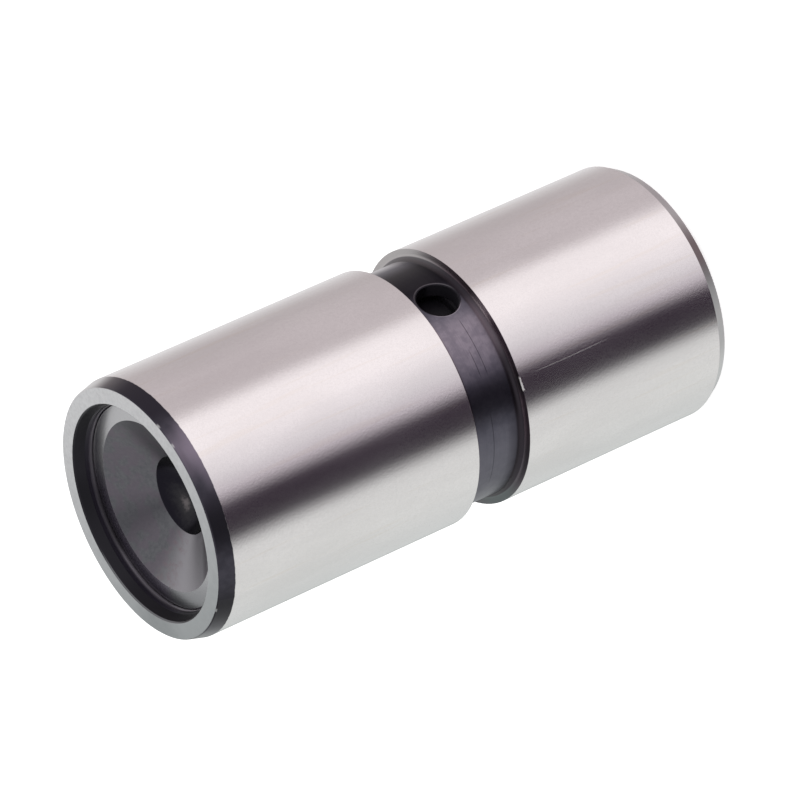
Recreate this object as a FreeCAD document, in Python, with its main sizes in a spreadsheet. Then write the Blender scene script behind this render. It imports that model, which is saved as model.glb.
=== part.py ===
# Hydraulic valve tappet, modelled standing on its cam face with the push rod end up.
# The origin is the centre of the cam face, +Z runs up the tappet's axis, and lengths are millimetres.
import FreeCAD, Part
import math
import os
import Sketcher

doc = FreeCAD.newDocument("tappet")

# Driving sizes: each one is a named cell, and every piece reads its sizes from these cells.
SIZES = [
    ("body_diameter", 22.2, "ground outside of the body, which slides in the engine"),
    ("body_length", 51.0, "cam face to push rod end"),
    ("cam_chamfer_height", 0.95, "chamfer round the cam face, along the axis"),
    ("cam_chamfer_depth", 0.53, "the same chamfer, across the axis"),
    ("waist_depth", 0.9, "depth of the oil groove round the body"),
    ("waist_bottom", 20.55, "cam face to the lower edge of the oil groove"),
    ("waist_width", 5.1, "width of the oil groove"),
    ("waist_corner", 0.5, "radius in the corners of the oil groove"),
    ("lead_in_height", 1.37, "unground taper at the push rod end, along the axis"),
    ("lead_in_depth", 0.34, "the same taper, across the axis"),
    ("edge_break", 0.12, "small bevel on the edges of the end face and the oil hole"),
    ("wall", 2.2, "metal between the ground outside and the bore of the plunger"),
    ("mouth_flare", 0.32, "how far the bore opens out at the end face, on the radius"),
    ("mouth_height", 0.9, "taper from the mouth down to the straight bore"),
    ("well_step", 1.5, "how far the plunger spring's pocket stands in from the bore"),
    ("well_corner", 0.8, "radius in the corner of the pocket's floor"),
    ("floor_thickness", 5.0, "metal between the cam face and the pocket"),
    ("plunger_stroke", 4.0, "how far the plunger slides down from its stop"),
    ("stroke_spare", 0.5, "bore left below the plunger at the end of its stroke"),
    ("oil_hole_diameter", 3.5, "drilled from the oil groove into the bore"),
    ("oil_hole_drop", 0.1, "middle of the oil hole below the middle of the groove"),
    ("running_clearance", 0.02, "radial play of the sliding pieces in the bore"),
    ("ring_wire", 0.8, "wire of the retaining ring"),
    ("ring_bite", 0.3, "middle of the ring's wire outside the bore's wall"),
    ("ring_play", 0.03, "gap between the ring's wire and its groove, and the seat's rim"),
    ("ring_gap_angle", 30.0, "open part of the retaining ring, in degrees"),
    ("rim_depth", 1.6, "end face of the body down to the push rod seat's rim"),
    ("rim_width", 1.58, "flat rim of the push rod seat"),
    ("dish_depth", 2.38, "dished cone of the seat, from the rim to the socket's edge"),
    ("socket_mouth", 6.66, "diameter of the socket where it meets the dish"),
    ("socket_radius", 4.0, "ball socket for the push rod's end"),
    ("seat_head", 4.5, "part of the seat that lies above the plunger"),
    ("spigot_height", 2.7, "part of the seat that goes down into the plunger"),
    ("spigot_play", 0.05, "radial gap between the spigot and the plunger"),
    ("seat_bevel", 0.2, "bevel on the edges of the seat and the plunger"),
    ("metering_hole", 1.6, "oil passage from the plunger up to the push rod"),
    ("disc_thickness", 0.5, "metering disc under the seat"),
    ("disc_lift", 0.15, "gap in which the metering disc floats"),
    ("disc_play", 0.1, "radial gap between the disc and the plunger"),
    ("disc_notch", 3.0, "diameter of the notches in the disc's edge"),
    ("disc_notches", 3, "how many notches the disc has"),
    ("plunger_lip", 2.38, "wall of the plunger round the recess for spigot and disc"),
    ("disc_shoulder", 0.9, "width of the step that the disc rests on"),
    ("plunger_floor", 3.2, "metal between the oil space and the valve"),
    ("plunger_waist_depth", 0.68, "depth of the feed groove round the plunger"),
    ("plunger_waist_bottom", 6.5, "lower end of the plunger to that groove"),
    ("plunger_waist_width", 8.5, "width of that groove"),
    ("feed_hole", 2.5, "drilled from the feed groove into the oil space"),
    ("valve_port", 3.0, "hole through the plunger's floor"),
    ("valve_bevel", 0.55, "45 degree seat for the check ball"),
    ("recess_depth", 0.8, "step in the plunger's underside for the ball retainer"),
    ("plunger_foot", 1.88, "width of the plunger's wall round that step"),
    ("retainer_play", 0.05, "radial gap round the retainer's flange"),
    ("retainer_sheet", 0.5, "sheet that the retainer is pressed from"),
    ("retainer_height", 5.9, "whole height of the retainer"),
    ("ball_guide_play", 0.27, "radial gap between the ball and the retainer's cup"),
    ("retainer_bend", 0.4, "inside radius where the cup meets its flange and floor"),
    ("retainer_window", 2.2, "width of the oil windows in the cup"),
    ("retainer_windows", 3, "how many windows the cup has"),
    ("retainer_drain", 1.6, "hole in the cup's floor"),
    ("ball_diameter", 4.76, "check ball"),
    ("ball_play", 0.04, "drop of the ball below full contact with its seat"),
    ("ball_spring_wire", 0.3, "wire of the check ball's spring"),
    ("ball_spring_play", 0.4, "radial gap between that spring and the retainer's cup"),
    ("ball_spring_tip", 2.0, "mean diameter of that spring where it meets the ball"),
    ("ball_spring_turns", 2.5, "coils of the check ball's spring"),
    ("spring_wire", 1.0, "wire of the plunger spring"),
    ("spring_play", 1.1, "radial gap between the plunger spring and its pocket"),
    ("spring_length", 10.3, "plunger spring as fitted, with the plunger at its stop"),
    ("spring_turns", 3, "working coils of the plunger spring"),
    ("coil_gap", 0.05, "gap in the closed coil at each end of the plunger spring"),
]

sizes = doc.addObject("Spreadsheet::Sheet", "sizes")
for row, (alias, value, meaning) in enumerate(SIZES, start=1):
    sizes.set(f"A{row}", meaning)
    sizes.set(f"B{row}", str(value))
    sizes.setAlias(f"B{row}", alias)
doc.recompute()

# Heights that several pieces share, as expressions measured up from the cam face.
RIM_LEVEL = "(sizes.body_length - sizes.rim_depth)"
PLUNGER_TOP = f"({RIM_LEVEL} - sizes.seat_head)"
STEP_LEVEL = "(sizes.floor_thickness + sizes.spring_length + sizes.retainer_sheet)"
PLUNGER_BOTTOM = f"({STEP_LEVEL} - sizes.recess_depth)"
PLUNGER_LENGTH = f"({PLUNGER_TOP} - {PLUNGER_BOTTOM})"
DISC_STACK = "(sizes.spigot_height + sizes.disc_lift + sizes.disc_thickness)"
RETAINER_FOOT = f"({STEP_LEVEL} - sizes.retainer_height)"

# Radii that several pieces share, worked inwards from the ground outside.
OUTSIDE = "(sizes.body_diameter / 2)"
BORE = f"({OUTSIDE} - sizes.wall)"
WELL = f"({BORE} - sizes.well_step)"
RING_RADIUS = f"({BORE} + sizes.ring_bite)"
SLIDER = f"({BORE} - sizes.running_clearance)"
PLUNGER_MOUTH = f"({SLIDER} - sizes.plunger_lip)"
STEP_RADIUS = f"({SLIDER} - sizes.plunger_foot)"

# The ring's wire stops the 45 degree bevel of the seat's rim, so its height follows from both.
RING_REACH = "(sizes.ring_wire / 2 + sizes.ring_play)"
RING_LEVEL = (
    f"({RIM_LEVEL} + {SLIDER} - sizes.seat_bevel - {RING_RADIUS} + {RING_REACH} * sqrt(2))"
)

# The ball rests on the valve port's 45 degree bevel, which fixes the height of its centre.
BALL_RADIUS = "(sizes.ball_diameter / 2)"
CUP = f"({BALL_RADIUS} + sizes.ball_guide_play)"
BALL_DROP = (
    f"({BALL_RADIUS} * sqrt(2) - sizes.valve_port / 2 - sizes.valve_bevel + sizes.ball_play)"
)
BALL_LEVEL = f"({STEP_LEVEL} - {BALL_DROP})"


def number(expression):
    """The value that an expression has now."""
    return float(sizes.evalExpression(expression))


def new_body(label, level="0"):
    """A piece of the tappet, standing at its height on the axis."""
    body = doc.addObject("PartDesign::Body", label)
    body.Label = label
    body.setExpression(".Placement.Base.z", level)
    return body


def new_sketch(body, name, plane="XZ_Plane"):
    """A sketch on one of the body's own origin planes."""
    sketch = body.newObject("Sketcher::SketchObject", name)
    for feature in body.Origin.OriginFeatures:
        if feature.Role == plane:
            sketch.AttachmentSupport = (feature, [""])
    sketch.MapMode = "FlatFace"
    return sketch


def place_point(sketch, edge, end, across, up):
    """Holds one end of a sketch edge at two expressions, or on an axis where one is 0."""
    for kind, axis, expression in (("DistanceX", -2, across), ("DistanceY", -1, up)):
        if expression == "0":
            sketch.addConstraint(Sketcher.Constraint("PointOnObject", edge, end, axis))
            continue
        value = number(expression)
        index = sketch.addConstraint(Sketcher.Constraint(kind, -1, 1, edge, end, value))
        sketch.setExpression(f"Constraints[{index}]", expression)


def draw_outline(sketch, corners):
    """A closed outline of straight lines, each corner held at (radius, height) expressions."""
    points = [FreeCAD.Vector(number(x), number(y), 0) for x, y in corners]
    count = len(points)
    for i in range(count):
        sketch.addGeometry(Part.LineSegment(points[i], points[(i + 1) % count]), False)
    for i in range(count):
        sketch.addConstraint(Sketcher.Constraint("Coincident", i, 2, (i + 1) % count, 1))
    for i, (x, y) in enumerate(corners):
        place_point(sketch, i, 1, x, y)


def draw_circle(sketch, across, up, diameter):
    """A circle with its centre and diameter held at expressions."""
    centre = FreeCAD.Vector(number(across), number(up), 0)
    circle = Part.Circle(centre, FreeCAD.Vector(0, 0, 1), number(diameter) / 2)
    edge = sketch.addGeometry(circle, False)
    place_point(sketch, edge, 3, across, up)
    index = sketch.addConstraint(Sketcher.Constraint("Diameter", edge, number(diameter)))
    sketch.setExpression(f"Constraints[{index}]", diameter)


def turn(body, name, sketch, kind="PartDesign::Revolution", angle="360"):
    """Turns a sketch round the tappet's axis, half each way, to add metal or to cut it away."""
    feature = body.newObject(kind, name)
    feature.Profile = sketch
    feature.ReferenceAxis = (sketch, ["V_Axis"])
    feature.Midplane = True
    feature.setExpression("Angle", angle)
    sketch.Visibility = False
    doc.recompute()
    return feature


def drill(body, name, sketch, length):
    """A round cut from a sketch towards the side that faces -Y, or down from an XY sketch."""
    feature = body.newObject("PartDesign::Pocket", name)
    feature.Profile = sketch
    feature.Reversed = True
    feature.setExpression("Length", length)
    sketch.Visibility = False
    doc.recompute()
    return feature


def ring_edges(feature, radius, level):
    """Names of the feature's round edges that have this radius and height."""
    names = []
    for index, edge in enumerate(feature.Shape.Edges, start=1):
        if not isinstance(edge.Curve, Part.Circle):
            continue
        same_size = abs(edge.Curve.Radius - number(radius)) < 1e-4
        same_height = abs(edge.Curve.Center.z - number(level)) < 1e-4
        if same_size and same_height:
            names.append(f"Edge{index}")
    return names


def crossing_edges(feature, radius):
    """Names of the edges where a drilled hole comes out of the feature's wall of this radius."""
    names = []
    for index, edge in enumerate(feature.Shape.Edges, start=1):
        start = edge.Vertexes[0].Point
        at_wall = abs(math.hypot(start.x, start.y) - number(radius)) < 1e-4
        if at_wall and isinstance(edge.Curve, Part.BSplineCurve):
            names.append(f"Edge{index}")
    return names


def round_edges(body, name, feature, edges, radius):
    """Rounds edges of the last feature, each given by its radius and height."""
    found = []
    for edge_radius, level in edges:
        found += ring_edges(feature, edge_radius, level)
    fillet = body.newObject("PartDesign::Fillet", name)
    fillet.Base = (feature, found)
    fillet.setExpression("Radius", radius)
    doc.recompute()
    return fillet


def repeat_round(body, name, feature, count):
    """Repeats a cut evenly round the tappet's axis."""
    pattern = body.newObject("PartDesign::PolarPattern", name)
    pattern.Originals = [feature]
    for origin_feature in body.Origin.OriginFeatures:
        if origin_feature.Role == "Z_Axis":
            pattern.Axis = (origin_feature, [""])
    pattern.Angle = 360
    pattern.setExpression("Occurrences", count)
    body.Tip = pattern
    doc.recompute()
    return pattern


def make_tappet_body():
    """The hardened steel body: a turned cup, ground on both lands, with an oil groove and hole."""
    body = new_body("tappet_body")
    waist = f"({OUTSIDE} - sizes.waist_depth)"
    waist_top = "sizes.waist_bottom + sizes.waist_width"
    bore_foot = f"({PLUNGER_BOTTOM} - sizes.plunger_stroke - sizes.stroke_spare)"
    mouth = f"({BORE} + sizes.mouth_flare)"
    face = "sizes.body_length"
    profile = new_sketch(body, "body_profile")
    draw_outline(
        profile,
        [
            ("0", "0"),
            (f"{OUTSIDE} - sizes.cam_chamfer_depth", "0"),
            (OUTSIDE, "sizes.cam_chamfer_height"),
            (OUTSIDE, "sizes.waist_bottom"),
            (waist, "sizes.waist_bottom"),
            (waist, waist_top),
            (OUTSIDE, waist_top),
            (OUTSIDE, f"{face} - sizes.lead_in_height"),
            (f"{OUTSIDE} - sizes.lead_in_depth", f"{face} - sizes.edge_break"),
            (f"{OUTSIDE} - sizes.lead_in_depth - sizes.edge_break", face),
            (f"{mouth} + sizes.edge_break", face),
            (mouth, f"{face} - sizes.edge_break"),
            (BORE, f"{face} - sizes.mouth_height"),
            (BORE, bore_foot),
            (WELL, f"{bore_foot} - sizes.well_step"),
            (WELL, "sizes.floor_thickness"),
            ("0", "sizes.floor_thickness"),
        ],
    )
    turn(body, "turned_body", profile)

    ring_groove = new_sketch(body, "ring_groove_profile")
    draw_circle(ring_groove, RING_RADIUS, RING_LEVEL, "sizes.ring_wire + 2 * sizes.ring_play")
    grooved = turn(body, "ring_groove", ring_groove, "PartDesign::Groove")
    corners = [(waist, "sizes.waist_bottom"), (waist, waist_top)]
    rounded = round_edges(body, "waist_corners", grooved, corners, "sizes.waist_corner")
    floor = [(WELL, "sizes.floor_thickness")]
    round_edges(body, "well_corner", rounded, floor, "sizes.well_corner")

    oil_hole = new_sketch(body, "oil_hole_circle")
    middle = f"({waist_top} + sizes.waist_bottom) / 2 - sizes.oil_hole_drop"
    draw_circle(oil_hole, "0", middle, "sizes.oil_hole_diameter")
    drilled = drill(body, "oil_hole", oil_hole, "sizes.body_diameter")
    bevel = body.newObject("PartDesign::Chamfer", "oil_hole_bevel")
    bevel.Base = (drilled, crossing_edges(drilled, waist))
    bevel.setExpression("Size", "sizes.edge_break")
    doc.recompute()
    return body


def make_retaining_ring():
    """An open ring of spring wire that snaps into its groove and stops the seat."""
    body = new_body("retaining_ring", RING_LEVEL)
    wire = new_sketch(body, "ring_wire_section", "YZ_Plane")
    draw_circle(wire, RING_RADIUS, "0", "sizes.ring_wire")
    turn(body, "bent_ring", wire, angle="360 - sizes.ring_gap_angle")
    return body


def make_push_rod_seat():
    """The hardened cup that the push rod's ball end turns in, with a spigot below."""
    body = new_body("push_rod_seat", f"{PLUNGER_TOP} - sizes.spigot_height")
    rim = "sizes.spigot_height + sizes.seat_head"
    spigot = f"({PLUNGER_MOUTH} - sizes.spigot_play)"
    dish = f"({SLIDER} - sizes.rim_width)"
    dish_foot = f"{rim} - sizes.dish_depth"
    passage = "sizes.metering_hole / 2"
    profile = new_sketch(body, "seat_profile")
    draw_outline(
        profile,
        [
            (passage, "0"),
            (f"{spigot} - sizes.seat_bevel", "0"),
            (spigot, "sizes.seat_bevel"),
            (spigot, "sizes.spigot_height"),
            (SLIDER, "sizes.spigot_height"),
            (SLIDER, f"{rim} - sizes.seat_bevel"),
            (f"{SLIDER} - sizes.seat_bevel", rim),
            (dish, rim),
            ("sizes.socket_mouth / 2", dish_foot),
            (passage, dish_foot),
        ],
    )
    turn(body, "turned_seat", profile)

    centre = f"{dish_foot} + sqrt(sizes.socket_radius ^ 2 - (sizes.socket_mouth / 2) ^ 2)"
    socket = body.newObject("PartDesign::SubtractiveSphere", "ball_socket")
    socket.setExpression("Radius", "sizes.socket_radius")
    socket.setExpression(".Placement.Base.z", centre)
    doc.recompute()
    return body


def make_metering_disc():
    """A flat pressed disc that floats under the seat and meters the oil to the push rod."""
    body = new_body("metering_disc", f"{PLUNGER_TOP} - {DISC_STACK}")
    blank = new_sketch(body, "disc_blank", "XY_Plane")
    draw_circle(blank, "0", "0", f"2 * ({PLUNGER_MOUTH} - sizes.disc_play)")
    disc = body.newObject("PartDesign::Pad", "pressed_disc")
    disc.Profile = blank
    disc.setExpression("Length", "sizes.disc_thickness")
    doc.recompute()

    notch = new_sketch(body, "notch_circle", "XY_Plane")
    draw_circle(notch, PLUNGER_MOUTH, "0", "sizes.disc_notch")
    cut = drill(body, "notch", notch, "sizes.disc_thickness")
    repeat_round(body, "notches", cut, "sizes.disc_notches")
    return body


def make_plunger():
    """The ground piston: oil space above, check valve port in its floor, feed groove outside."""
    body = new_body("plunger", PLUNGER_BOTTOM)
    bevel = "sizes.seat_bevel"
    waist = f"({SLIDER} - sizes.plunger_waist_depth)"
    waist_top = "sizes.plunger_waist_bottom + sizes.plunger_waist_width"
    shoulder = f"{PLUNGER_LENGTH} - {DISC_STACK}"
    reservoir = f"({PLUNGER_MOUTH} - sizes.disc_shoulder)"
    reservoir_floor = "sizes.recess_depth + sizes.plunger_floor"
    port = "sizes.valve_port / 2"
    profile = new_sketch(body, "plunger_profile")
    draw_outline(
        profile,
        [
            (f"{port} + sizes.valve_bevel", "sizes.recess_depth"),
            (STEP_RADIUS, "sizes.recess_depth"),
            (STEP_RADIUS, "0"),
            (f"{SLIDER} - {bevel}", "0"),
            (SLIDER, bevel),
            (SLIDER, "sizes.plunger_waist_bottom"),
            (waist, "sizes.plunger_waist_bottom"),
            (waist, waist_top),
            (SLIDER, waist_top),
            (SLIDER, f"{PLUNGER_LENGTH} - {bevel}"),
            (f"{SLIDER} - {bevel}", PLUNGER_LENGTH),
            (PLUNGER_MOUTH, PLUNGER_LENGTH),
            (PLUNGER_MOUTH, shoulder),
            (reservoir, shoulder),
            (reservoir, reservoir_floor),
            (port, reservoir_floor),
            (port, "sizes.recess_depth + sizes.valve_bevel"),
        ],
    )
    turn(body, "turned_plunger", profile)

    feed = new_sketch(body, "feed_hole_circle")
    draw_circle(feed, "0", f"{waist_top} - sizes.feed_hole", "sizes.feed_hole")
    drill(body, "feed_hole", feed, BORE)
    return body


def make_ball_retainer():
    """The pressed cage that holds the check ball and its spring under the plunger."""
    body = new_body("ball_retainer", RETAINER_FOOT)
    top = "sizes.retainer_height"
    sheet = "sizes.retainer_sheet"
    cup_outside = f"({CUP} + {sheet})"
    flange = f"({STEP_RADIUS} - sizes.retainer_play)"
    profile = new_sketch(body, "retainer_profile")
    draw_outline(
        profile,
        [
            ("sizes.retainer_drain / 2", "0"),
            (cup_outside, "0"),
            (cup_outside, f"{top} - {sheet}"),
            (flange, f"{top} - {sheet}"),
            (flange, top),
            (CUP, top),
            (CUP, sheet),
            ("sizes.retainer_drain / 2", sheet),
        ],
    )
    pressed = turn(body, "pressed_cup", profile)
    outer_bends = [(cup_outside, "0"), (CUP, top)]
    outer_radius = f"sizes.retainer_bend + {sheet}"
    bent = round_edges(body, "outer_bends", pressed, outer_bends, outer_radius)
    inner_bends = [(cup_outside, f"{top} - {sheet}"), (CUP, sheet)]
    round_edges(body, "inner_bends", bent, inner_bends, "sizes.retainer_bend")

    window = new_sketch(body, "window_outline")
    half = "sizes.retainer_window / 2"
    low = f"{sheet} + sizes.retainer_bend"
    high = f"{top} - 2 * {sheet} - sizes.retainer_bend"
    corners = [(f"0 - {half}", low), (half, low), (half, high), (f"0 - {half}", high)]
    draw_outline(window, corners)
    cut = drill(body, "window", window, f"2 * {cup_outside}")
    repeat_round(body, "windows", cut, "sizes.retainer_windows")
    return body


def make_check_ball():
    """The hardened ball that closes the valve port."""
    ball = doc.addObject("Part::Sphere", "check_ball")
    ball.Label = "check_ball"
    ball.setExpression("Radius", BALL_RADIUS)
    ball.setExpression(".Placement.Base.z", BALL_LEVEL)
    doc.recompute()
    return ball


def make_check_ball_spring():
    """The light cone spring that holds the ball against its seat."""
    body = new_body("check_ball_spring", f"{RETAINER_FOOT} + sizes.retainer_sheet")
    foot = f"({CUP} - sizes.ball_spring_play - sizes.ball_spring_wire / 2)"
    tip = "sizes.ball_spring_tip / 2"
    reach = f"({BALL_RADIUS} + sizes.ball_spring_wire / 2 + sizes.ball_play / 2)"
    tip_level = f"{BALL_LEVEL} - sqrt({reach} ^ 2 - ({tip}) ^ 2)"
    foot_level = f"({RETAINER_FOOT} + sizes.retainer_sheet + sizes.ball_spring_wire / 2)"
    wire = new_sketch(body, "cone_spring_wire")
    draw_circle(wire, foot, "sizes.ball_spring_wire / 2", "sizes.ball_spring_wire")
    coil = body.newObject("PartDesign::AdditiveHelix", "cone_coil")
    coil.Profile = wire
    coil.ReferenceAxis = (wire, ["V_Axis"])
    coil.Mode = "height-turns-growth"
    coil.setExpression("Height", f"{tip_level} - {foot_level}")
    coil.setExpression("Turns", "sizes.ball_spring_turns")
    coil.setExpression("Growth", f"({tip} - {foot}) / sizes.ball_spring_turns")
    wire.Visibility = False
    doc.recompute()
    return body


def make_plunger_spring():
    """The coil spring that pushes the plunger up: closed end coils, ground flat."""
    body = new_body("plunger_spring", "sizes.floor_thickness")
    closed = "(sizes.spring_wire + sizes.coil_gap)"
    coil_radius = f"({WELL} - sizes.spring_play - sizes.spring_wire / 2)"
    stages = [
        ("lower_coil", "0", closed, "1"),
        ("working_coils", closed, f"sizes.spring_length - 2 * {closed}", "sizes.spring_turns"),
        ("upper_coil", f"sizes.spring_length - {closed}", closed, "1"),
    ]
    for name, level, height, turns in stages:
        wire = new_sketch(body, f"{name}_wire")
        draw_circle(wire, coil_radius, level, "sizes.spring_wire")
        coil = body.newObject("PartDesign::AdditiveHelix", name)
        coil.Profile = wire
        coil.ReferenceAxis = (wire, ["V_Axis"])
        coil.Mode = "height-turns-angle"
        coil.setExpression("Height", height)
        coil.setExpression("Turns", turns)
        wire.Visibility = False
        doc.recompute()

    inside = f"{coil_radius} - sizes.spring_wire"
    outside = f"{coil_radius} + sizes.spring_wire"
    for name, low, high in (
        ("lower_grinding", "0 - sizes.spring_wire", "0"),
        ("upper_grinding", "sizes.spring_length", "sizes.spring_length + sizes.spring_wire"),
    ):
        flat = new_sketch(body, f"{name}_profile")
        draw_outline(flat, [(inside, low), (outside, low), (outside, high), (inside, high)])
        turn(body, name, flat, "PartDesign::Groove")
    return body


pieces = [
    make_tappet_body(),
    make_plunger_spring(),
    make_ball_retainer(),
    make_check_ball_spring(),
    make_check_ball(),
    make_plunger(),
    make_metering_disc(),
    make_push_rod_seat(),
    make_retaining_ring(),
]
doc.recompute()

# Every object must have been computed, and every piece must be one sound solid, before any is saved.
for item in doc.Objects:
    if "Invalid" in item.State or "Error" in item.State:
        raise RuntimeError(f"{item.Name} failed: {item.State}")
for piece in pieces:
    if piece.Shape.isNull() or not piece.Shape.isValid() or len(piece.Shape.Solids) != 1:
        raise RuntimeError(f"{piece.Label} is not one sound solid")

os.makedirs("parts", exist_ok=True)
for piece in pieces:
    piece.Shape.exportStep(f"parts/{piece.Label}.step")
    print(piece.Label, round(piece.Shape.Volume, 2))
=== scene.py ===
import math

import bmesh
import bpy
from mathutils import Matrix, Vector


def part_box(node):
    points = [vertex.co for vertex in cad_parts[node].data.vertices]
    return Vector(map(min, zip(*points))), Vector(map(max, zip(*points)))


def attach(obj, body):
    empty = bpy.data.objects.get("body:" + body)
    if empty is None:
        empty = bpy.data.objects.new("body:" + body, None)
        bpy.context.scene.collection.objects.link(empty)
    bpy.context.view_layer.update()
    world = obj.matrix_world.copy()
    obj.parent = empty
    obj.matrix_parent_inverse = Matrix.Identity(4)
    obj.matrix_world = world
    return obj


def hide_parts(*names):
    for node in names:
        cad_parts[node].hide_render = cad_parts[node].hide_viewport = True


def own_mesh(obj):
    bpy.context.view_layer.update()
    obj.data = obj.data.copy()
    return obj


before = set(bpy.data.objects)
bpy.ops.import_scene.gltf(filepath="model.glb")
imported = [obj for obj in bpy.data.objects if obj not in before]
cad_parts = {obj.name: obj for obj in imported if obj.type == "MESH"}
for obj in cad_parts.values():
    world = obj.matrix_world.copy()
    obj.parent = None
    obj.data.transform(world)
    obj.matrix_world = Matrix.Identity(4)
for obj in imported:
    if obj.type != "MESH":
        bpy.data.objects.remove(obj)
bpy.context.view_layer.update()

# Tappet body: a turned and hardened steel cup. Black oxide covers it all over, and the two lands, the
# end face and the cam face are ground bright afterwards, so the oil groove, the hole, the bore and the
# tapers stay black. Grinding marks run round the lands and turning marks round the groove's floor.


class Signal:
    """One value in a material's node tree. Arithmetic on it adds Math nodes to the same tree."""

    def __init__(self, tree, socket=None):
        self.tree = tree
        self.socket = socket

    def add(self, kind, settings=None, inputs=None, output=0):
        """Adds one node: its settings first, then a value or a link for each named input."""
        node = self.tree.nodes.new(kind)
        for name, value in (settings or {}).items():
            if name == "stops":
                ramp = node.color_ramp
                while len(ramp.elements) < len(value):
                    ramp.elements.new(0.5)
                for element, (position, color) in zip(ramp.elements, value):
                    element.position = position
                    element.color = (*color, 1)
            else:
                setattr(node, name, value)
        for name, value in (inputs or {}).items():
            if isinstance(value, Signal):
                self.tree.links.new(value.socket, node.inputs[name])
            else:
                node.inputs[name].default_value = value
        return Signal(self.tree, node.outputs[output] if node.outputs else None)

    def math(self, operation, *values):
        """A Math node on the given values."""
        return self.add("ShaderNodeMath", {"operation": operation}, dict(enumerate(values)))

    def __add__(self, other):
        return self.math("ADD", self, other)

    __radd__ = __add__

    def __sub__(self, other):
        return self.math("SUBTRACT", self, other)

    def __rsub__(self, other):
        return self.math("SUBTRACT", other, self)

    def __mul__(self, other):
        return self.math("MULTIPLY", self, other)

    __rmul__ = __mul__

    def __truediv__(self, other):
        return self.math("DIVIDE", self, other)

    def __pow__(self, other):
        return self.math("POWER", self, other)

    def larger(self, other):
        """The larger of two values."""
        return self.math("MAXIMUM", self, other)

    def across(self, other):
        """The straight distance that two distances at right angles make."""
        return (self * self + other * other) ** 0.5

    def rise(self, low, high):
        """0 below low, 1 above high, and a smooth step between; a higher low makes it fall."""
        settings = {"interpolation_type": "SMOOTHSTEP"}
        inputs = {"Value": self, "From Min": min(low, high), "From Max": max(low, high)}
        if low > high:
            inputs.update({"To Min": 1, "To Max": 0})
        return self.add("ShaderNodeMapRange", settings, inputs)

    def band(self, low, high, soft):
        """1 between low and high, fading out over soft at each end."""
        return self.rise(low - soft, low + soft) * self.rise(high + soft, high - soft)

    def blend(self, first, second):
        """The first colour where this value is 0, the second where it is 1."""
        # A Mix node has its two colours at inputs 6 and 7, and their blend at output 2.
        inputs = {"Factor": self, 6: first, 7: second}
        for key in (6, 7):
            if not isinstance(inputs[key], Signal):
                inputs[key] = (*inputs[key], 1)
        return self.add("ShaderNodeMix", {"data_type": "RGBA"}, inputs, 2)

    def mottled(self, dark, light):
        """Two colours in soft patches that follow this noise."""
        return self.rise(0.3, 0.7).blend(dark, light)

    def tinted(self, *layers):
        """This colour under others, each given after the mask of where it lies."""
        color = self
        for mask, layer in layers:
            color = mask.blend(color, layer)
        return color

    def split(self):
        """The three parts of a vector."""
        parts = self.add("ShaderNodeSeparateXYZ", {}, {0: self}).socket.node.outputs
        return [Signal(self.tree, part) for part in parts]

    def joined(self, y, z):
        """A vector with this value first."""
        return self.add("ShaderNodeCombineXYZ", {}, {0: self, 1: y, 2: z})

    def stretched(self, x, y, z):
        """This vector with its parts multiplied. Noise on it is long where a factor is small."""
        return self.add("ShaderNodeVectorMath", {"operation": "MULTIPLY"}, {0: self, 1: (x, y, z)})

    def noise(self, scale, detail, roughness=0.5):
        """Cloudy noise round 0.5 at this vector, scale times a unit."""
        inputs = {"Vector": self, "Scale": scale, "Detail": detail, "Roughness": roughness}
        return self.add("ShaderNodeTexNoise", {}, inputs)

    def swing(self, size):
        """This noise as a change of up to half the size either way."""
        return (self - 0.5) * size


class Finish:
    """The surface finish of one CAD node, with the node's box and the place on it in millimetres."""

    def __init__(self, node, name, **constants):
        material = bpy.data.materials.new(name)
        material.use_nodes = True
        self.shader = material.node_tree.nodes["Principled BSDF"]
        for socket, value in constants.items():
            self.shader.inputs[socket.replace("_", " ")].default_value = value
        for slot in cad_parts[node].material_slots:
            slot.material = material

        # Heights are above the cam face, and the angle is in degrees from the oil hole towards +X.
        low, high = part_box(node)
        self.foot = round(low.z * 1000, 2)
        self.top = round(high.z * 1000, 2)
        self.outside = round(high.x * 1000, 2)
        self.start = Signal(material.node_tree)
        metres = self.start.add("ShaderNodeTexCoord", output="Object")
        inputs = {0: metres, "Scale": 1000.0}
        self.point = self.start.add("ShaderNodeVectorMath", {"operation": "SCALE"}, inputs)
        self.x, self.y, self.height = self.point.split()
        self.radius = self.x.across(self.y)
        self.angle = self.start.math("DEGREES", self.start.math("ARCTAN2", self.x, 0 - self.y))

    def use(self, **signals):
        """Links what varies over the surface to the shader."""
        for socket, signal in signals.items():
            target = self.shader.inputs[socket.replace("_", " ")]
            self.start.tree.links.new(signal.socket, target)

    def relief(self, height, distance):
        """A Bump node for fine relief, with its distance in millimetres."""
        inputs = {"Height": height, "Distance": distance / 1000, "Strength": 1.0}
        return self.start.add("ShaderNodeBump", {}, inputs)


body = Finish("tappet_body", "ground_and_blackened_steel", Anisotropic=0.75, Anisotropic_Rotation=0.25)
x, y, height = body.x, body.y, body.height
point, radius, angle = body.point, body.radius, body.angle

# The body's own sizes in millimetres. The other numbers beside them say how far a border lies off and
# over what width it fades.
chamfer_top = 0.95
groove_foot = 20.55
groove_top = 25.65
groove_floor = body.outside - 0.9
taper_foot = body.top - 1.37
bevel_foot = body.top - 0.12
mouth_foot = body.top - 0.9
mouth_edge = 9.34
hole_level = (groove_foot + groove_top) / 2 - 0.1
hole_radius = 1.75

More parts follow.
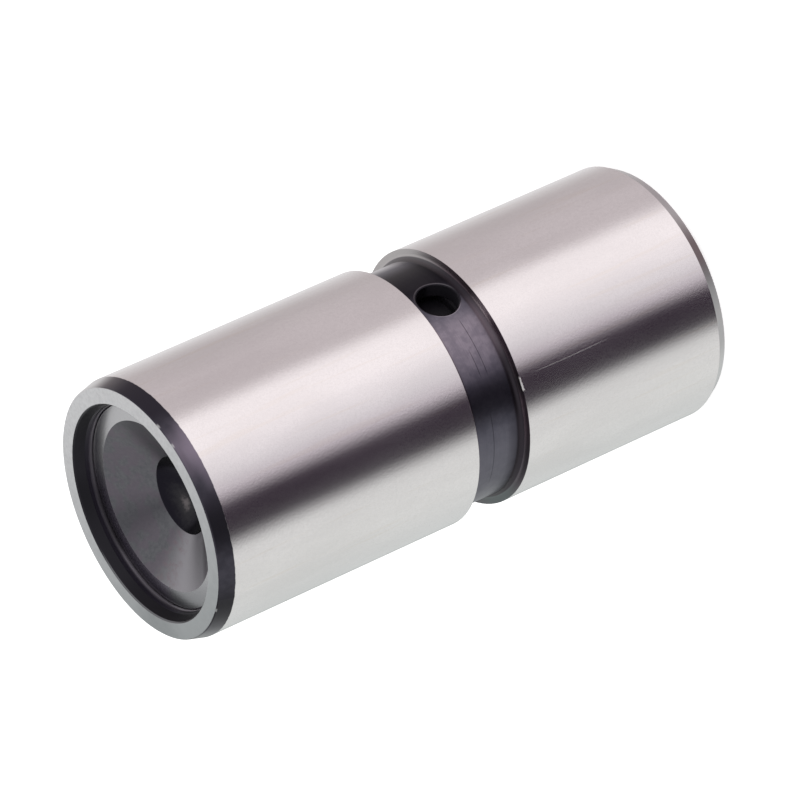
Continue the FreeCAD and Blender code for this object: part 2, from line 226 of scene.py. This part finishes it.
# The lands are ground up to the groove's edges and, a little unevenly, up to the start of the taper.
runout = point.noise(2.2, 3.0).swing(0.12)
upper_land = height.rise(groove_top, groove_top + 0.03)
upper_land = upper_land * (height - runout).rise(taper_foot + 0.03, taper_foot - 0.03)
lower_land = height.rise(chamfer_top - 0.02, chamfer_top + 0.02)
lower_land = lower_land * height.rise(groove_foot, groove_foot - 0.03)
land = (upper_land + lower_land) * radius.rise(body.outside - 0.12, body.outside - 0.07)

# The bevels of the end face are black, apart from three nicks where they have lost their film and a
# hairline along the upper edge of the outer one.
ragged = point.noise(5.0, 2.0, 0.6).swing(0.5)
uneven = angle + ragged * 3.0
nick_angles = ((-5.4, -3.6), (-16.2, -14.6), (-97.4, -95.8))
nicks = sum(uneven.band(first, last, 0.9) for first, last in nick_angles)
nicks = nicks * (height + ragged * 0.15).band(body.top - 0.14, body.top - 0.02, 0.05)
nicks = nicks * radius.rise(body.outside - 0.6, body.outside - 0.5)
hairline = radius.rise(9.9, 10.1) * 0.02
end_face = (height + hairline).rise(body.top - 0.015, body.top - 0.003) + nicks * 0.35
cam_face = height.rise(0.03, 0.01)
bright = land.larger(end_face).larger(cam_face)

# Ground steel: soft handling smudges and faint rub marks along the lands, over a fine grain.
grinding = point.stretched(0.05, 0.05, 1).noise(11.0, 3.0, 0.6)
smudges = point.stretched(0.4, 0.4, 0.12).noise(0.8, 3.0, 0.5)
rubs = point.stretched(1, 1, 0.04).noise(1.7, 2.0, 0.5)
grain = point.noise(3.5, 3.0, 0.6)
mottle = point.noise(5.5, 2.0, 0.6)
specks = point.noise(9.0, 2.0, 0.6)
steel_tone = smudges.mottled((0.705, 0.690, 0.692), (0.760, 0.745, 0.748)).tinted(
    (grain.rise(0.35, 0.75) * 0.3, (0.66, 0.645, 0.648)),
    (rubs.rise(0.60, 0.72) * 0.35, (0.70, 0.655, 0.61)),
    (specks.rise(0.40, 0.70) * 0.3, (0.62, 0.605, 0.61)),
)

# Black oxide in the groove, its colour changed round the body by painted reflection: a paler stretch
# on one side, a violet painted sheen beside the oil hole, the darkest film on the hole's other side and
# a pale stretch beyond it. Fine turning shows through it as streaks round the floor.
cloud = point.noise(1.3, 3.0, 0.6)
turning = height.joined(0, 0).noise(7.0, 3.0, 0.7)
painted_sheen = cloud.rise(0.35, 0.65).blend((0.182, 0.164, 0.200), (0.240, 0.214, 0.254))
film = cloud.mottled((0.082, 0.080, 0.104), (0.106, 0.103, 0.130)).tinted(
    (angle.band(-94, -72, 10) * 0.6, (0.150, 0.147, 0.176)),
    (angle.band(-38, -12, 9), painted_sheen),
    (angle.band(3, 32, 7), (0.014, 0.0125, 0.018)),
    (angle.rise(35, 45), (0.450, 0.440, 0.460)),
    (turning.rise(0.35, 0.70) * 0.16, (0.050, 0.048, 0.062)),
)

# Three turning marks stand out in the groove's floor, each at its own height and only part of the way
# round. Painted shade darkens the floor along its lower edge over one stretch, and the film is even at
# the back of the body.
turning_marks = ((22.69, -42, -15, 2), (23.36, -42, -30, 2), (23.49, -99, -61, 3))
marks = sum(
    height.band(level - 0.03, level + 0.03, 0.03) * angle.band(first, last, soft)
    for level, first, last, soft in turning_marks
)
marks = marks * radius.rise(groove_floor - 0.1, groove_floor - 0.05)
painted_shade_lower_edge = height.rise(groove_foot + 1.65, groove_foot + 1.05) * angle.band(-96, -66, 8)
behind = angle.rise(70, 95) + angle.rise(-130, -155)
film = film.tinted(
    (marks * 0.7, (0.02, 0.018, 0.025)),
    (painted_shade_lower_edge * 0.35, (0.045, 0.042, 0.055)),
    (behind, (0.098, 0.095, 0.118)),
)

# The groove's rounded corners and flat walls: nearly black with a brown cast towards the front, and
# greyer towards the back, where a pale painted highlight follows the corner. Their changes of tone round
# the body are painted reflection.
back = angle.rise(6, 38)
flat_floor = height.rise(groove_foot + 0.45, groove_foot + 0.70)
flat_floor = flat_floor * height.rise(groove_top - 0.45, groove_top - 0.70)
corner = (1 - flat_floor) * height.rise(groove_top + 0.85, groove_top + 0.35)
corner_film = back.blend((0.036, 0.031, 0.038), (0.130, 0.122, 0.130)).tinted(
    (angle.band(-34, -10, 8), (0.120, 0.098, 0.116)),
    (behind, (0.045, 0.041, 0.050)),
)
wall = height.rise(groove_foot - 0.03, groove_foot - 0.01)
wall = wall * height.rise(groove_top + 0.03, groove_top + 0.01)
wall = wall * radius.rise(groove_floor + 0.22, groove_floor + 0.32)
# The walls' tones round the body are painted reflection too, with one bright painted highlight.
wall_film = back.blend((0.150, 0.112, 0.134), (0.430, 0.410, 0.410)).tinted(
    (angle.band(-56, -46, 4), (0.070, 0.058, 0.066)),
    (angle.rise(-72, -86), (0.100, 0.088, 0.100)),
    (angle.band(-20, -9, 5), (0.600, 0.510, 0.535)),
    (angle.rise(-102, -122), (0.100, 0.118, 0.118)),
    (behind, (0.110, 0.100, 0.112)),
)

# The taper is blacker than the groove. Painted reflection sets its tone round the body: the same violet
# painted sheen in line with the oil hole, which spreads towards the land and is fainter at the end face,
# darker stretches beside it, and a pale stretch further round.
near_land = height.rise(taper_foot + 0.87, taper_foot + 0.07) * angle.band(-38, -7, 6)
near_end = height.rise(body.top - 0.7, body.top - 0.3) * angle.band(-29, -18, 4)
taper = height.rise(taper_foot - 0.13, taper_foot - 0.03)
taper_film = cloud.mottled((0.044, 0.042, 0.054), (0.058, 0.055, 0.070)).tinted(
    (angle.band(-28, -13, 8), (0.172, 0.150, 0.190)),
    (near_land * 0.35, (0.240, 0.205, 0.262)),
    (near_end * 0.35, (0.060, 0.050, 0.066)),
    (angle.band(-108, -86, 8), (0.021, 0.020, 0.025)),
    (angle.band(-2, 27, 5), (0.036, 0.033, 0.044)),
    (angle.band(-62, -42, 8), (0.042, 0.039, 0.050)),
    (angle.rise(24, 40), (0.130, 0.122, 0.130)),
    (angle.rise(35, 49) + angle.rise(-110, -126) * 0.2, (0.62, 0.62, 0.62)),
    (behind, (0.052, 0.050, 0.062)),
)

# The cam end's chamfer is bare and grey, with paler and darker stretches of painted reflection round it,
# and a brown painted dark reflection in line with the sheen.
painted_dark_reflection = angle.rise(-49, -33) * angle.rise(-8, -28)
chamfer = height.rise(chamfer_top + 0.02, chamfer_top - 0.02)
chamfer_film = angle.band(-98, -78, 6).blend((0.480, 0.470, 0.478), (0.590, 0.585, 0.590)).tinted(
    (angle.band(-4, 14, 5), (0.450, 0.430, 0.440)),
    (painted_dark_reflection, (0.150, 0.118, 0.124)),
)

# The bore and the drilled hole are black, and the bore is painted paler below the mouth as painted
# light.
# The hole is dull, and painted shade darkens it inside. Its bevel is paler at both sides than above and
# below, as painted highlights.
inside = radius.rise(mouth_edge + 0.11, mouth_edge + 0.06)
below_mouth = height.rise(mouth_foot + 0.05, mouth_foot - 0.10)
bore_film = below_mouth.blend((0.026, 0.025, 0.030), (0.048, 0.044, 0.058))
# A painted highlight lightens the mouth's bevel over one stretch round it.
mouth_bevel = height.rise(bevel_foot - 0.01, bevel_foot + 0.01)
mouth_bevel = mouth_bevel * radius.rise(mouth_edge + 0.21, mouth_edge + 0.11)
mouth_bevel = mouth_bevel * (angle.rise(-126, -141) + angle.rise(150, 165))
from_hole = x.across(height - hole_level)
facing = y.rise(-7, -8)
hole = from_hole.rise(hole_radius + 0.09, hole_radius + 0.05) * facing
hole_bevel = from_hole.rise(hole_radius + 0.19, hole_radius + 0.14) * facing
# The hole's bevel: dark film, with painted highlights at both sides.
bevel_film_and_highlights = x.rise(-0.2, 1.2).blend((0.030, 0.027, 0.034), (0.105, 0.098, 0.110))
bevel_film_and_highlights = x.rise(-1.0, -1.6).blend(bevel_film_and_highlights, (0.250, 0.230, 0.270))

film = film.tinted(
    (corner, corner_film),
    (wall, wall_film),
    (taper, taper_film),
    (chamfer, chamfer_film),
    (inside, bore_film),
    (hole_bevel, bevel_film_and_highlights),
    (hole, (0.015, 0.013, 0.019)),
    (mouth_bevel, (0.15, 0.15, 0.16)),
)

# The end face is dull from fine turning. Painted light makes it paler on its upper side and darker on
# its lower side, with a darker stretch of painted shade.
painted_light_side = x * 0.755 - y * 0.656 + cloud.swing(7)
face_tone = painted_light_side.rise(-14, 14).blend((0.350, 0.372, 0.378), (0.690, 0.690, 0.700)).tinted(
    (angle.band(-170, -142, 10) * 0.35, (0.20, 0.22, 0.225)),
    (grain.rise(0.35, 0.75) * 0.3, (0.40, 0.40, 0.41)),
)

# Wear: a small dent in the edge of the lower land and one fine scratch below it. Both show raw metal.
dent_slope = (angle + 54.3) * 0.018
dent = (height - dent_slope + ragged * 0.5).rise(groove_foot - 0.21, groove_foot - 0.11)
dent = dent * height.rise(groove_foot + 0.03, groove_foot + 0.01) * uneven.band(-54.5, -48.6, 0.6)
dent = dent * radius.rise(body.outside - 0.14, body.outside - 0.08)
scratch_line = angle + body.start.math("SINE", height * 0.9) * 0.08
scratch = scratch_line.band(-49.20, -48.98, 0.14) * height.band(12.2, 18.6, 1.1)
worn = dent + scratch * 0.45

roughness = 0.34 - land * 0.11 - cam_face * 0.08 + end_face * 0.18 + hole * 0.25
ripple = (grinding * 0.3 + mottle * 0.9) * land + turning * (1 - bright) * 0.6 - marks
body.use(
    Base_Color=film.tinted((bright, steel_tone), (end_face, face_tone), (worn, (0.88, 0.86, 0.85))),
    Roughness=roughness + smudges.swing(0.06) + worn * 0.2,
    Metallic=1 - worn * 0.6 - hole * 0.3,
    Normal=body.relief(ripple, 0.004),
)

# Plunger spring: round spring wire, coiled cold, its closed ends ground flat. It stands in the body's
# pocket. Drawing marks run along the wire, and the ground ends are bright.
spring = Finish("plunger_spring", "drawn_spring_wire", Metallic=1.0)
oil_film = spring.point.noise(0.8, 3.0, 0.6)
drawn = (spring.x * 0.03).joined(spring.y * 0.03, spring.radius).noise(16.0, 3.0, 0.6)
ground_end = spring.height.rise(spring.foot + 0.06, spring.foot + 0.02)
ground_end = ground_end + spring.height.rise(spring.top - 0.06, spring.top - 0.02)
wire_tone = oil_film.mottled((0.32, 0.30, 0.30), (0.44, 0.43, 0.43))
spring.use(
    Base_Color=ground_end.blend(wire_tone, (0.68, 0.66, 0.66)),
    Roughness=0.30 + drawn.swing(0.2),
    Normal=spring.relief(drawn, 0.004),
)


def coil(node, body):
    """A spring as a welded piece of its own, attached to the given body."""
    weld_distance = 1e-7
    crease = math.radians(40)
    skin = bmesh.new()
    skin.from_mesh(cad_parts[node].data)
    bmesh.ops.remove_doubles(skin, verts=skin.verts, dist=weld_distance)
    mesh = bpy.data.meshes.new(node + "_coil")
    skin.to_mesh(mesh)
    skin.free()
    if "custom_normal" in mesh.attributes:
        mesh.attributes.remove(mesh.attributes["custom_normal"])
    mesh.shade_smooth()
    mesh.set_sharp_from_angle(angle=crease)
    mesh.materials.append(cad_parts[node].data.materials[0])
    piece = bpy.data.objects.new(node + "_coil", mesh)
    bpy.context.scene.collection.objects.link(piece)
    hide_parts(node)
    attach(piece, body)
    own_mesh(piece)


coil("plunger_spring", "tappet_body")

# Ball retainer: a cage pressed from thin steel sheet, with three oil windows and a drain hole. Its cup
# holds the check ball, and its flange lies between the plunger and the plunger spring. The tumbled sheet
# is dull, and its drawn bends are burnished by the die.
retainer = Finish("ball_retainer", "pressed_steel_sheet", Metallic=1.0)
cup_radius = 3.15
rolled = retainer.point.stretched(0.2, 2.0, 1).noise(5.0, 3.0, 0.6)
tumbled = retainer.point.noise(3.0, 4.0, 0.7)
flange_bend = retainer.height.band(retainer.top - 0.9, retainer.top - 0.3, 0.2)
flange_bend = flange_bend * retainer.radius.rise(cup_radius + 0.75, cup_radius + 0.15)
bend = flange_bend + retainer.height.rise(retainer.foot + 0.7, retainer.foot + 0.3)
sheet_tone = tumbled.mottled((0.42, 0.40, 0.385), (0.54, 0.52, 0.50))
retainer.use(
    Base_Color=(bend * 0.6).blend(sheet_tone, (0.66, 0.64, 0.62)),
    Roughness=0.42 - bend * 0.14 + rolled.swing(0.12),
    Normal=retainer.relief(tumbled, 0.006),
)

# Check ball spring: fine music wire wound to a cone, bright with a faint straw tint. It stands on the
# floor of the retainer's cup.
ball_spring = Finish("check_ball_spring", "fine_music_wire", Metallic=1.0)
tint = ball_spring.point.noise(1.5, 2.0, 0.5)
fine_draw = ball_spring.point.stretched(0.2, 0.2, 3.0).noise(9.0, 2.0, 0.5)
ball_spring.use(
    Base_Color=tint.mottled((0.56, 0.54, 0.50), (0.66, 0.65, 0.64)),
    Roughness=0.24 + fine_draw.swing(0.12),
    Normal=ball_spring.relief(fine_draw, 0.002),
)
coil("check_ball_spring", "plunger")

# Check ball: a hardened and lapped bearing ball that closes the plunger's valve port. It is the
# brightest piece, with a faint ring where it meets its seat.
ball = Finish("check_ball", "lapped_ball_steel", Metallic=1.0)
ball_middle = (ball.foot + ball.top) / 2
contact_radius = 1.68
haze = ball.point.noise(2.5, 3.0, 0.5)
seat_ring = ball.radius.band(contact_radius - 0.08, contact_radius + 0.08, 0.04)
seat_ring = seat_ring * ball.height.rise(ball_middle + 0.36, ball_middle + 0.96)
ball_tone = haze.mottled((0.80, 0.80, 0.81), (0.86, 0.86, 0.87))
ball.use(
    Base_Color=seat_ring.blend(ball_tone, (0.62, 0.61, 0.62)),
    Roughness=0.06 + haze * 0.05 + seat_ring * 0.16,
)

# Plunger: a hardened piston, fine ground where it runs in the bore and plainly turned in the feed
# groove, the recess and the oil space. Its feed groove is black with oil, and the spot that lies behind
# the body's oil hole is blackened as painted shade.
plunger = Finish(
    "plunger", "fine_ground_plunger_steel", Anisotropic=0.5, Anisotropic_Rotation=0.25
)
x, y, height = plunger.x, plunger.y, plunger.height
feed_foot = plunger.foot + 6.5
feed_top = feed_foot + 8.5
feed_floor = plunger.outside - 0.68
lapping = plunger.point.stretched(0.05, 0.05, 1).noise(32.0, 4.0, 0.6)
cuts = plunger.radius.joined(0, height).noise(5.0, 3.0, 0.6)
stain = plunger.point.noise(0.5, 3.0, 0.6)
feed_groove = height.rise(feed_foot - 0.2, feed_foot + 0.1)
feed_groove = feed_groove * height.rise(feed_top + 0.1, feed_top - 0.1)
feed_groove = feed_groove * plunger.radius.rise(feed_floor - 0.3, feed_floor - 0.1)
painted_shade_behind_hole = x.across(height - hole_level).rise(2.9, 2.5) * y.rise(-6.5, -7)
oil_and_painted_shade = feed_groove.larger(painted_shade_behind_hole)
ground = plunger.radius.rise(plunger.outside - 0.08, plunger.outside - 0.02) * (1 - painted_shade_behind_hole)
turned_tone = stain.mottled((0.30, 0.285, 0.28), (0.42, 0.405, 0.395))
ground_tone = stain.mottled((0.62, 0.60, 0.605), (0.70, 0.685, 0.69))
plunger.use(
    Base_Color=turned_tone.tinted((oil_and_painted_shade, (0.012, 0.010, 0.015)), (ground, ground_tone)),
    Roughness=0.40 - ground * 0.20 + oil_and_painted_shade * 0.2 + stain.swing(0.08),
    Metallic=1 - oil_and_painted_shade * 0.55,
    Normal=plunger.relief(lapping * ground * 0.4 + cuts * (1 - ground), 0.004),
)

# Metering disc: a flat disc blanked from thin strip, with three notches for the oil, then deburred. It
# lies loose on the plunger's step, under the seat's spigot.
disc = Finish("metering_disc", "blanked_strip_steel", Metallic=1.0)
disc_radius = 6.4
strip = disc.point.stretched(0.15, 2.5, 1).noise(4.0, 3.0, 0.6)
rubbed = disc.point.noise(1.2, 2.0, 0.5)
edge = disc.radius.rise(disc_radius - 0.2, disc_radius)
disc_tone = rubbed.mottled((0.52, 0.51, 0.50), (0.64, 0.63, 0.62))
disc.use(
    Base_Color=(edge * 0.5).blend(disc_tone, (0.74, 0.73, 0.72)),
    Roughness=0.34 + strip.swing(0.14),
    Normal=disc.relief(strip, 0.004),
)

# Push rod seat: a hardened cup held under the retaining ring. Its flat rim is ground, and the ball
# socket in the middle is black. The dish is dull grey from heat treatment, with a painted highlight
# streak on its lower side, painted shade on one side, and a trace of rust.
seat = Finish("push_rod_seat", "heat_treated_seat_steel", Anisotropic=0.6, Anisotropic_Rotation=0.25)
x, y, height = seat.x, seat.y, seat.height
point, radius, angle = seat.point, seat.radius, seat.angle
rim_edge = seat.outside - 1.58
socket_edge = 3.33
rim = radius.rise(rim_edge - 0.01, rim_edge + 0.01) * height.rise(seat.top - 0.04, seat.top - 0.02)
rim_bevel = radius.rise(seat.outside - 0.21, seat.outside - 0.18)
rim_bevel = rim_bevel * height.rise(seat.top - 0.3, seat.top - 0.2)
socket = radius.rise(socket_edge + 0.03, socket_edge - 0.03)
rings = radius.joined(0, 0).noise(6.0, 3.0, 0.6)
scale = point.noise(3.2, 4.0, 0.65)
rust = point.noise(1.8, 4.0, 0.7)
heat_tint = point.noise(0.9, 2.0, 0.5)
dish_tone = scale.rise(0.25, 0.75).blend((0.098, 0.099, 0.109), (0.130, 0.131, 0.141)).tinted(
    (heat_tint.rise(0.42, 0.58) * 0.6, (0.126, 0.106, 0.130)),
    (angle.band(134, 156, 16) * 0.55, (0.040, 0.038, 0.046)),
    (angle.rise(-180, -140) * angle.rise(-100, -112), (0.300, 0.290, 0.312)),
    (rust.rise(0.42, 0.75) * angle.band(-172, -149, 8) * 0.55, (0.185, 0.125, 0.140)),
)

# The rim is darker on its lower side and at the back, most of all close to the bore's wall: a painted
# reflection of the black bore.
painted_dark_lower_side = (y * 0.83 - x * 0.56).rise(3.0, 8.0)
painted_shade_stretch = angle.rise(100, 125) + angle.rise(-150, -165)
by_the_wall = radius.rise(rim_edge + 0.8, rim_edge + 1.1)
rim_tone = painted_dark_lower_side.blend((0.44, 0.44, 0.45), (0.215, 0.220, 0.230)).tinted(
    (painted_shade_stretch, (0.250, 0.225, 0.280)),
    (painted_shade_stretch * by_the_wall * 0.6, (0.090, 0.082, 0.100)),
)

# A painted glint lightens one small spot of the socket, longer than it is wide.
spot_x = x - 0.58
spot_y = y - 2.0
along = spot_x * 0.90 - spot_y * 0.43
sideways = spot_x * 0.43 + spot_y * 0.90
from_painted_glint = (along * along * 0.2 + sideways * sideways) ** 0.5 + scale.swing(0.7)
socket_tone = from_painted_glint.rise(1.1, 0.2).blend((0.013, 0.012, 0.017), (0.034, 0.033, 0.036))
socket_tone = from_painted_glint.rise(0.40, 0.02).blend(socket_tone, (0.120, 0.108, 0.112))
# The seat's outer bevel is paler than the gap's shade would leave it: painted light.
painted_light_bevel_tone = (0.105, 0.097, 0.115)
seat.use(
    Base_Color=dish_tone.tinted((rim, rim_tone), (socket, socket_tone), (rim_bevel, painted_light_bevel_tone)),
    Roughness=0.38 - rim * 0.16 - socket * 0.12 + scale.swing(0.06),
    Metallic=1 - rim_bevel * 0.8,
    Normal=seat.relief(rings * 0.5 + scale * 0.15, 0.005),
)

# Retaining ring: spring wire bent to an open ring, snapped into the groove above the seat. It is black
# with oil, apart from one dull grey painted highlight line round its inside, brighter and darker in
# stretches round the ring.
ring = Finish("retaining_ring", "oiled_ring_wire")
ring_level = (ring.foot + ring.top) / 2
ring_inside = 8.8
smear = ring.point.stretched(0.3, 0.3, 1).noise(2.2, 3.0, 0.6)
painted_highlight_line = ring.height.band(ring_level - 0.17, ring_level + 0.15, 0.09)
painted_highlight_line = painted_highlight_line * ring.radius.rise(ring_inside + 0.20, ring_inside + 0.12)
wire_film = smear.mottled((0.024, 0.021, 0.028), (0.036, 0.032, 0.041))
highlight_line_tone = ring.angle.band(88, 150, 14).blend((0.160, 0.148, 0.170), (0.100, 0.092, 0.108)).tinted(
    (ring.angle.band(122, 158, 10), (0.047, 0.043, 0.051)),
    (ring.angle.band(-152, -126, 6), (0.300, 0.280, 0.310)),
)
ring.use(
    Base_Color=painted_highlight_line.blend(wire_film, highlight_line_tone),
    Roughness=0.34 + smear.swing(0.12),
    Metallic=1 - painted_highlight_line * 0.7,
    Normal=ring.relief(smear, 0.004),
)

# Floor: a pale table under the cam face. The camera sees it as white with the tappet's soft shadow, and
# the polished steel mirrors the studio round it instead.


def emptied(owner):
    """The node tree of a material or a world, with nothing in it yet."""
    owner.use_nodes = True
    owner.node_tree.nodes.clear()
    return Signal(owner.node_tree)


reach = 3.0
floor_corners = [(-reach, -reach, 0), (reach, -reach, 0), (reach, reach, 0), (-reach, reach, 0)]
floor_mesh = bpy.data.meshes.new("floor")
floor_mesh.from_pydata(floor_corners, [], [(0, 1, 2, 3)])
floor = bpy.data.objects.new("floor", floor_mesh)
bpy.context.scene.collection.objects.link(floor)
floor.visible_glossy = False
paper = bpy.data.materials.new("pale_table")
start = emptied(paper)
matt = start.add("ShaderNodeBsdfDiffuse", {}, {"Color": (0.82, 0.82, 0.82, 1)})
seen = start.add("ShaderNodeLightPath", output="Is Camera Ray")
whitening = seen * 0.62
glow = start.add("ShaderNodeEmission", {}, {"Color": (1, 1, 1, 1), "Strength": whitening})
surface = start.add("ShaderNodeAddShader", {}, {0: matt, 1: glow})
start.add("ShaderNodeOutputMaterial", {}, {"Surface": surface})
floor_mesh.materials.append(paper)

# Studio: a soft white dome, with tall panels round the table and a dark gap between two of them that
# gives the steel its stripe. The camera itself sees plain white.
world = bpy.data.worlds.new("studio")
bpy.context.scene.world = world
world.cycles.sampling_method = "NONE"
start = emptied(world)
direction = start.add("ShaderNodeTexCoord", output="Generated")
panel_turn = (0, 0, math.radians(126))
inputs = {"Vector": direction, "Rotation": panel_turn}
turned = start.add("ShaderNodeMapping", {"vector_type": "VECTOR"}, inputs)
x, y, z = turned.split()
round_share = start.math("ARCTAN2", y, x) / (2 * math.pi) + 0.5
panel_stops = [
    (0.000, (0.30, 0.33, 0.32)),
    (0.056, (0.72, 0.75, 0.74)),
    (0.240, (0.91, 0.92, 0.90)),
    (0.326, (0.89, 0.89, 0.88)),
    (0.367, (0.046, 0.036, 0.048)),
    (0.435, (0.032, 0.018, 0.034)),
    (0.471, (0.74, 0.67, 0.72)),
    (0.500, (0.90, 0.85, 0.88)),
    (0.556, (1.15, 1.08, 1.10)),
    (0.585, (1.25, 1.17, 1.18)),
    (0.648, (1.26, 1.18, 1.19)),
    (0.681, (0.70, 0.63, 0.645)),
    (0.760, (0.70, 0.63, 0.645)),
    (0.860, (0.62, 0.565, 0.57)),
    (0.944, (0.89, 0.875, 0.88)),
    (1.000, (1.05, 1.05, 1.05)),
]
panels = start.add("ShaderNodeValToRGB", {"stops": panel_stops}, {0: round_share})
studio = z.rise(0.05, 0.42).blend(panels, (0.92, 0.92, 0.92))
camera_ray = start.add("ShaderNodeLightPath", output="Is Camera Ray")
shown = camera_ray.blend(studio, (1, 1, 1))
background = start.add("ShaderNodeBackground", {}, {"Color": shown, "Strength": 1.0})
start.add("ShaderNodeOutputWorld", {}, {"Surface": background})

# Camera: close to the tappet's push rod end and a little above it, with a long lens, rolled so that the
# tappet lies across the picture as in the photograph.
camera_data = bpy.data.cameras.new("camera")
camera = bpy.data.objects.new("camera", camera_data)
bpy.context.scene.collection.objects.link(camera)
camera_data.sensor_width = 36
camera_data.lens = 287.8
camera_data.clip_start = 0.05
camera_data.clip_end = 20
camera_place = Vector((-0.26648, -0.36647, 0.27516))
towards = Vector((0.51474, 0.70847, -0.48281))
picture_up = Vector((0.62277, -0.69602, -0.35738))
picture_right = towards.cross(picture_up)
turn = Matrix((picture_right, picture_up, -towards)).transposed().to_4x4()
camera.matrix_world = Matrix.Translation(camera_place) @ turn
bpy.context.scene.camera = camera
bpy.context.scene.view_settings.view_transform = "Standard"
